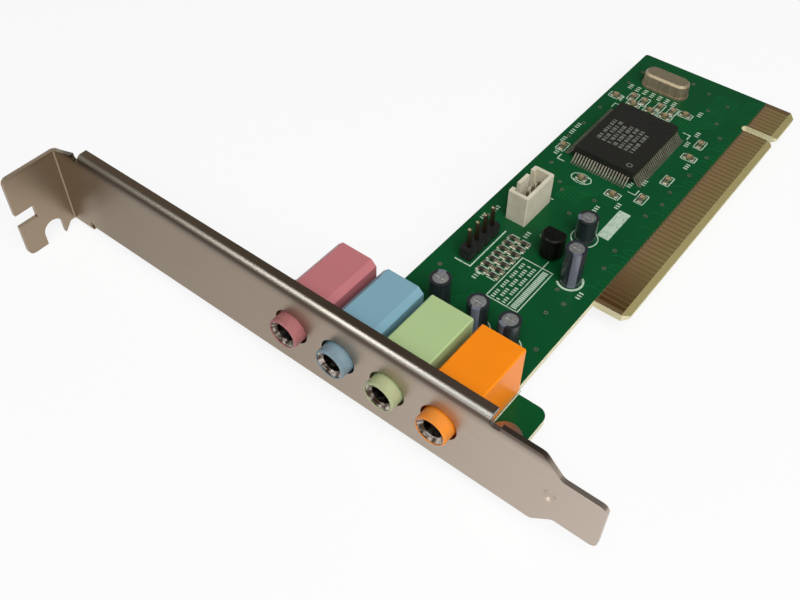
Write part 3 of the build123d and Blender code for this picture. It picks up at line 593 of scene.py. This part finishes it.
# Legend printed on the board in epoxy ink: pale mint, matt, slightly thin at its edges. Only outlines and
# plain bars
legendLook = {
    "shader": {"Roughness": 0.6},
    "size": 0.5,
    "detail": 2.0,
    "stops": [(0.25, "#7d9c86"), (0.5, "#b9cdb9")],
    "thick": 0.02 * mm,
    "line": 0.22,
    "bars": [  # start, end, width
        ((-48.05, 13.95), (-41.55, 13.95), 2.5),  # blank label block
        ((-75.3, 18.6), (-63.8, 18.6), 0.2),  # line across the panel and past it
        ((-63.2, 18.6), (-61.4, 18.6), 0.2),
        ((-71.5, 32.9), (-71.5, 29.5), 0.3),  # end and long side of the header
        ((-71.2, 29.5), (-59.6, 29.5), 0.3),
        ((-46.0, 27.2), (-46.0, 32.3), 0.22),  # far end of the audio socket
        ((-105.4, 6.2), (-89.8, 6.2), 0.25),  # outline beside the jacks
        ((-89.6, 6.5), (-89.6, 14.9), 0.25),
        ((-89.6, 16.7), (-89.6, 25.1), 0.25),
        ((-89.6, 26.9), (-89.6, 35.3), 0.25),
        ((-89.6, 37.1), (-89.6, 45.5), 0.25),
    ],
    "rings": [  # centre, radii, width, arc and turn in degrees
        ((-51.5, 16.65), (2.6, 2.6), 0.24, fullTurn, 0),
        ((-62.95, 12.9), (2.42, 2.42), 0.45, 190, 130),
        ((-83.15, 13.5), (2.6, 2.6), 0.22, 120, -60),
        ((-83.15, 20.05), (2.6, 2.6), 0.22, 120, -60),
        ((-36.9, 26.1), (2.2, 1.5), 0.26, fullTurn, 90),
    ],
    "panel": ((-75.6, 16.3), (-63.5, 23.0)),
    "panelRows": [  # y, height, ticks, pitch
        (17.45, 1.2, 26, 0.43),
        (19.55, 0.7, 18, 0.6),
        (20.75, 0.7, 18, 0.6),
        (21.95, 0.7, 18, 0.6),
    ],
    "panelStart": -75.0,
    "panelTick": 0.3,
    "panelBreak": 5,
    "resistorLine": 1.92,
    "cornerCentre": (-22.2, 24.2),  # marks round the controller
    "cornerReach": (12.2, 9.2),
    "cornerArm": 1.6,
    "cornerLine": 0.25,
    "outlineSide": (0.95, 1.3),  # distance from a chip part's middle and half length
    "outlineEnd": (1.55, 0.84),
    "endLift": (1.07, 0.03),  # thickness of the ends, and how much each part adds to it
    "tickTall": 0.92,
    "tickWide": 0.32,
    "tickPitch": 0.7,
    "tickCount": 3,
    "ticks": [  # x and y of the groups beside parts
        (-40.2, 16.1), (-33.0, 17.3), (-13.8, 14.2), (-9.4, 13.9), (-20.5, 10.9), (-30.6, 15.3),
        (-43.6, 19.1), (-58.5, 25.7), (-73.4, 27.3), (-65.8, 9.6), (-59.3, 35.3), (-56.0, 34.6),
        (-8.4, 33.3), (-10.4, 29.5), (-2.6, 16.7), (-28.8, 35.7), (-33.2, 34.6), (-25.4, 35.6),
        (-22.9, 35.7), (-2.9, 22.9), (-2.9, 24.7), (-2.9, 26.5), (-2.9, 28.3), (-2.9, 30.1),
        (-2.9, 31.9), (-2.9, 33.7),
    ],
}
legendInk = mottledFinish("legendInk", legendLook)
ink = {"base": boardTop, "thick": legendLook["thick"]}
line = legendLook["line"]
bm = bmesh.new()
for start, end, width in legendLook["bars"]:
    bar(bm, start, end, width, **ink)
for centre, radii, width, arc, turn in legendLook["rings"]:
    ring(bm, centre, radii, width, arc, turn, **ink)
frameBars(bm, *legendLook["panel"], line, **ink)
for row, (y, tall, count, pitch) in enumerate(legendLook["panelRows"]):
    for step in range(count):
        if row == 0 or (step + 2 * row) % legendLook["panelBreak"]:  # the upper rows have breaks
            tick(bm, legendLook["panelStart"] + step * pitch, y, tall, legendLook["panelTick"], **ink)
for column in range(resistorGrid["columns"] + 1):
    x = resistorGrid["x"] + (column - resistorGrid["columns"] / 2) * resistorGrid["pitch"]
    for y in resistorGrid["rows"]:
        tick(bm, x, y, legendLook["resistorLine"], line, **ink)
arm, width = legendLook["cornerArm"], legendLook["cornerLine"]
for sideX in (1, -1):
    for sideY in (1, -1):
        x = legendLook["cornerCentre"][0] + sideX * legendLook["cornerReach"][0]
        y = legendLook["cornerCentre"][1] + sideY * legendLook["cornerReach"][1]
        bar(bm, (x, y), (x - sideX * arm, y), width, **ink)
        bar(bm, (x, y - sideY * width), (x, y - sideY * arm), width, **ink)
for order, (x, y, turn) in enumerate(partPlaces):
    along, across = Vector((1, 0)), Vector((0, 1))
    if turn:
        along, across = across, along
    for side in (1, -1):
        offset, reach = legendLook["outlineSide"]
        middle = Vector((x, y)) + across * side * offset
        bar(bm, middle - along * reach, middle + along * reach, line, **ink)
        if order:  # the first part has a ring instead of ends
            offset, reach = legendLook["outlineEnd"]
            middle = Vector((x, y)) + along * side * offset
            least, more = legendLook["endLift"]  # no two tops level where outlines meet
            lift = ink["thick"] * (least + more * order)
            bar(bm, middle - across * reach, middle + across * reach, line, boardTop, lift)
for x, y in legendLook["ticks"]:
    for step in range(legendLook["tickCount"]):
        tickX = x + step * legendLook["tickPitch"]
        tick(bm, tickX, y, legendLook["tickTall"], legendLook["tickWide"], **ink)
addPiece("board_legend", bm, legendInk)

# Copper tracks under the mask, seen as slightly paler green ridges on both faces
trackLook = {
    "shader": {"Roughness": 0.26, "Specular IOR Level": 0.18},
    "size": 5,
    "detail": 2.0,
    "stops": [(0.35, "#0a522a"), (0.65, "#0c5c2f")],
    "width": 0.35,
    "thick": 0.012 * mm,
    "lift": (0.15, 0.02, 7),  # what each part and each run adds to that, and after how many runs anew
    "contacts": {"pitch": 1.27, "first": 1.905, "before": 49, "after": 7},
    "stubStart": 6.9,
    "stubs": {1: (7.4, 0.5, 4), -1: (8.2, 0.7, 6)},  # shortest end, step and number of lengths on each face
    "stubBend": 0.8,
    "stubTail": 0.4,
    "bundles": [  # each point is x, y and how both change from track to track, in pitches
        {
            "faces": (1, -1),
            "count": 7,
            "pitch": 0.75,
            "lines": [
                [(-34.2, 20.4, 0, 1), (-38.6, 20.4, 0, 1), (-41.2, 23.0, 0, 1), (-44.6, 23.0, 0, 1)],
                [(-88.6, 23.0, 0, 1), (-79.6, 23.0, 0, 1), (-77.4, 20.8, 0, 1), (-76.4, 20.8, 0, 1)],
                [(-9.6, 19.4, 0, -1), (-5.0, 19.4, -0.41, -1), (-2.0, 16.4, -0.41, -1), (7.5, 16.4, 0, -1)],
            ],
        },
        {
            "faces": (-1,),
            "count": 9,
            "pitch": 0.8,
            "lines": [
                [(-88.0, 26.8, 0, 1), (-66.0, 26.8, -1, 1), (-61.0, 21.8, -1, 1), (-46.0, 21.8, 0, 1)],
                [(-104.0, 2.4, 1.75, 0), (-104.0, 5.0, 1.75, 1), (-98.0, 11.0, 1.75, 1), (-60.0, 11.0, 0, 1)],
            ],
        },
    ],
}
maskOverCopper = mottledFinish("maskOverCopper", trackLook)
grid = trackLook["contacts"]
contactPlaces = [-grid["first"] - grid["pitch"] * i for i in range(grid["before"])]
contactPlaces += [grid["first"] + grid["pitch"] * i for i in range(grid["after"])]
partLift, runLift, runCycle = trackLook["lift"]
bm = bmesh.new()
for face in (1, -1):
    runs = []
    shortest, longer, lengths = trackLook["stubs"][face]
    for i, x in enumerate(contactPlaces):
        rise = shortest + longer * (i % lengths)
        bend = trackLook["stubBend"] * (i % 2)
        runs.append([(x, trackLook["stubStart"]), (x, rise), (x - bend, rise + bend + trackLook["stubTail"])])
    for bundle in trackLook["bundles"]:
        for i in range(bundle["count"] if face in bundle["faces"] else 0):
            step = bundle["pitch"] * i
            for points in bundle["lines"]:
                runs.append([(x + dx * step, y + dy * step) for x, y, dx, dy in points])
    for order, points in enumerate(runs):
        for part, (first, second) in enumerate(zip(points, points[1:])):
            # no two tops level where tracks meet
            lift = trackLook["thick"] * (1 + partLift * part + runLift * (order % runCycle))
            bar(bm, first, second, trackLook["width"], boardTop if face > 0 else boardLow - lift, lift)
addPiece("board_tracks", bm, maskOverCopper)

# Solder fillets on the pads of the small parts: pale tin that slopes down from each end cap
padLook = {
    "shader": {"Metallic": 0.6, "Roughness": 0.5},
    "size": 0.8,
    "detail": 2.0,
    "stops": [(0.3, "#94907a"), (0.7, "#b1ad99")],
    "length": 0.75,
    "width": 1.1,
    "offset": 0.86,
    "thick": 0.16 * mm,
    "draft": 0.62,
}
padTin = mottledFinish("hotAirTin", padLook)
resistorPlaces = []
for column in range(resistorGrid["columns"]):
    x = resistorGrid["x"] + (column - (resistorGrid["columns"] - 1) / 2) * resistorGrid["pitch"]
    resistorPlaces += [(x, y, 90) for y in resistorGrid["rows"]]
bm = bmesh.new()
for x, y, turn in resistorPlaces + partPlaces:
    place = Matrix.Translation((x * mm, y * mm, boardTop)) @ Matrix.Rotation(math.radians(turn), 4, "Z")
    for side in (1, -1):
        centre = place @ Matrix.Translation((side * padLook["offset"] * mm, 0, padLook["thick"] / 2))
        size = Matrix.Diagonal((padLook["length"] * mm, padLook["width"] * mm, padLook["thick"], 1))
        made = bmesh.ops.create_cube(bm, size=1, matrix=centre @ size)["verts"]
        crown = [v for v in made if v.co.z > boardTop + padLook["thick"] / 2]
        draft = (padLook["draft"], padLook["draft"], 1)
        bmesh.ops.scale(bm, verts=crown, vec=draft, space=centre.inverted())
addPiece("solder_fillets", bm, padTin)

# Marking on the controller: plain grey laser bars and a round mark at pin one
markLook = {
    "shader": {"Roughness": 0.7},
    "size": 0.25,
    "detail": 1.0,
    "stops": [(0.3, "#55554e"), (0.6, "#78786f")],
    "thick": 0.012 * mm,
    "rows": 7,
    "pitch": 1.3,
    "tall": 0.85,
    "from": -26.4,
    "to": -18.8,
    "middle": 24.85,
    "widths": (0.3, 0.44, 0.58),
    "gap": 0.28,
    "wideGap": 0.7,
    "wideEvery": 4,
    "pinOne": ((-30.3, 19.2), (0.55, 0.55), 0.2, fullTurn, 0),
}
laserMark = mottledFinish("laserMark", markLook)
mark = {"base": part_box("controller_chip")[1].z, "thick": markLook["thick"]}
bm = bmesh.new()
for row in range(markLook["rows"]):
    y = markLook["middle"] + (row - (markLook["rows"] - 1) / 2) * markLook["pitch"]
    x, step = markLook["from"], 0
    while x < markLook["to"]:
        width = markLook["widths"][(step * 2 + row) % 3]
        tick(bm, x, y, markLook["tall"], width, **mark)
        x += width + markLook["gap" if (step + row) % markLook["wideEvery"] else "wideGap"]
        step += 1
ring(bm, *markLook["pinOne"], **mark)
addPiece("controller_mark", bm, laserMark)

# Tinned rings of the plated holes that join the two copper layers
viaLook = {
    "radius": 0.32,
    "width": 0.2,
    "thick": 0.03 * mm,
    "places": [
        (-40.5, 29.0), (-42.3, 27.4), (-41.0, 20.6), (-38.6, 10.4), (-33.5, 9.4), (-29.2, 9.9), (-22.0, 9.2),
        (-14.5, 9.0), (-6.8, 9.6), (-2.5, 12.4), (4.6, 13.2), (6.4, 18.5), (7.6, 23.0), (7.4, 30.6),
        (4.4, 34.2), (-1.2, 34.8), (-13.5, 35.3), (-20.6, 35.2), (-26.6, 35.4), (-36.4, 33.6), (-44.8, 34.6),
        (-57.9, 34.8), (-74.6, 34.2), (-77.4, 31.0), (-77.8, 24.2), (-78.2, 15.6), (-72.4, 12.2),
        (-68.6, 10.8), (-66.3, 13.6), (-56.2, 9.6), (-50.9, 10.3), (-46.0, 18.8), (-47.4, 22.6),
        (-53.9, 21.2), (-56.2, 23.4), (-85.8, 9.4), (-80.6, 9.0), (-97.4, 3.4), (2.6, 22.4), (0.6, 15.9),
    ],
}
bm = bmesh.new()
for place in viaLook["places"]:
    for base in (boardTop, boardLow - viaLook["thick"]):
        ring(bm, place, (viaLook["radius"],) * 2, viaLook["width"], fullTurn, 0, base, viaLook["thick"])
addPiece("board_vias", bm, leadTin)
print("legend, tracks, solder, mark and plated holes done")

# White paper on a wide table. A low rim far away keeps the pale ground in low views, and the sheet can be
# seen through from below
floorLook = {
    "radius": 6.0,
    "segments": 96,
    "rim": 1.6,
    "flare": 1.1,
    "drop": 0.05 * mm,
    "white": 0.86,
    "shade": 0.16,
}
bm = bmesh.new()
bmesh.ops.create_circle(bm, cap_ends=True, radius=floorLook["radius"], segments=floorLook["segments"])
edge = bmesh.ops.extrude_edge_only(bm, edges=[e for e in bm.edges if e.is_boundary])["geom"]
rim = [v for v in edge if isinstance(v, bmesh.types.BMVert)]
bmesh.ops.scale(bm, verts=rim, vec=(floorLook["flare"], floorLook["flare"], 1))
bmesh.ops.translate(bm, verts=rim, vec=(0, 0, floorLook["rim"]))
bmesh.ops.recalc_face_normals(bm, faces=bm.faces)
bmesh.ops.translate(bm, verts=bm.verts, vec=(0, 0, cadBox[0][2] - floorLook["drop"]))
if min(bm.faces, key=lambda face: face.calc_center_median().z).normal.z < 0:
    bmesh.ops.reverse_faces(bm, faces=bm.faces)
floorMesh = bpy.data.meshes.new("floor")
bm.to_mesh(floorMesh)
bm.free()
floor = bpy.data.objects.new("floor", floorMesh)
bpy.context.collection.objects.link(floor)
paper = bpy.data.materials.new("whitePaper")
paper.use_nodes = True
tree = paper.node_tree
tree.nodes.clear()
rays = addNode(tree, "ShaderNodeLightPath")
most = {"operation": "MAXIMUM"}
links = {0: rays.outputs["Is Camera Ray"], 1: rays.outputs["Is Glossy Ray"]}
seen = addNode(tree, "ShaderNodeMath", most, links)
links = {0: seen.outputs[0], 1: rays.outputs["Is Transmission Ray"]}
clear = addNode(tree, "ShaderNodeMath", most, links)
share = {"operation": "MULTIPLY", 1: 1 - floorLook["shade"]}
share = addNode(tree, "ShaderNodeMath", share, {0: clear.outputs[0]})
matt = addNode(tree, "ShaderNodeBsdfDiffuse", {"Color": (floorLook["white"],) * 3 + (1,)})
glow = addNode(tree, "ShaderNodeEmission", {"Color": (1, 1, 1, 1), "Strength": 1.0})
links = {0: share.outputs[0], 1: matt.outputs[0], 2: glow.outputs[0]}
mixed = addNode(tree, "ShaderNodeMixShader", None, links)
under = addNode(tree, "ShaderNodeNewGeometry")
through = addNode(tree, "ShaderNodeBsdfTransparent")
links = {0: under.outputs["Backfacing"], 1: mixed.outputs[0], 2: through.outputs[0]}
table = addNode(tree, "ShaderNodeMixShader", None, links)
addNode(tree, "ShaderNodeOutputMaterial", None, {"Surface": table.outputs[0]})
floorMesh.materials.append(paper)

worldLook = {"Color": (1.0, 0.99, 0.97, 1), "Strength": 0.14}
world = bpy.data.worlds.new("studio")
bpy.context.scene.world = world
world.use_nodes = True
for key, value in worldLook.items():
    world.node_tree.nodes["Background"].inputs[key].default_value = value

# A narrow box along the bracket's lip and two cards that only show in the metal, then broad light from above
# and in front. Place, the y that the lamp looks at, width, height, watts, and whether matt surfaces get it
lampAim = (-0.06, 0.0)  # x and z that all lamps look at
lampLook = [
    ("sideBox", (-0.43, 0.36, 0.56), 0.36, 0.12, 0.56, 2.9, False),
    ("farCard", (0.24, 0.84, 0.57), 0.03, 0.44, 0.5, 0.6, False),
    ("lowCard", (-0.8, 0.12, 0.12), 0.03, 0.22, 0.22, 0.6, False),
    ("topBox", (-0.38, -0.28, 0.7), 0.03, 0.6, 0.6, 5.4, True),
    ("frontFill", (-0.25, -0.6, 0.45), 0.03, 0.5, 0.5, 2.4, True),
]
for name, place, aimY, width, height, watts, lightsMatt in lampLook:
    lamp = bpy.data.lights.new(name, "AREA")
    lamp.shape = "RECTANGLE"
    lamp.size, lamp.size_y, lamp.energy = width, height, watts
    box = bpy.data.objects.new(name, lamp)
    box.location = place
    box.visible_diffuse = lightsMatt
    box.visible_camera = False
    aim = Vector((lampAim[0], aimY, lampAim[1])) - Vector(place)
    box.rotation_euler = aim.to_track_quat("-Z", "Y").to_euler()
    bpy.context.collection.objects.link(box)

cameraLook = {
    "place": (-0.1760113, -0.0340477, 0.1278612),
    "right": (0.61866093, -0.78555359, 0.01281452),
    "up": (0.58235361, 0.46945771, 0.66368195),
    "ahead": (0.52737361, 0.40313151, -0.74790511),
    "lens": 42.25,
    "sensor": 36,
    "clip": (0.005, 10),
}
camera = bpy.data.objects.new("camera", bpy.data.cameras.new("camera"))
camera.data.sensor_width = cameraLook["sensor"]
camera.data.lens = cameraLook["lens"]
camera.data.clip_start, camera.data.clip_end = cameraLook["clip"]
turned = Matrix((cameraLook["right"], cameraLook["up"], -Vector(cameraLook["ahead"]))).transposed()
camera.matrix_world = Matrix.Translation(cameraLook["place"]) @ turned.to_4x4()
bpy.context.collection.objects.link(camera)
bpy.context.scene.camera = camera
bpy.context.scene.view_settings.view_transform = "Standard"
print("camera and light set")
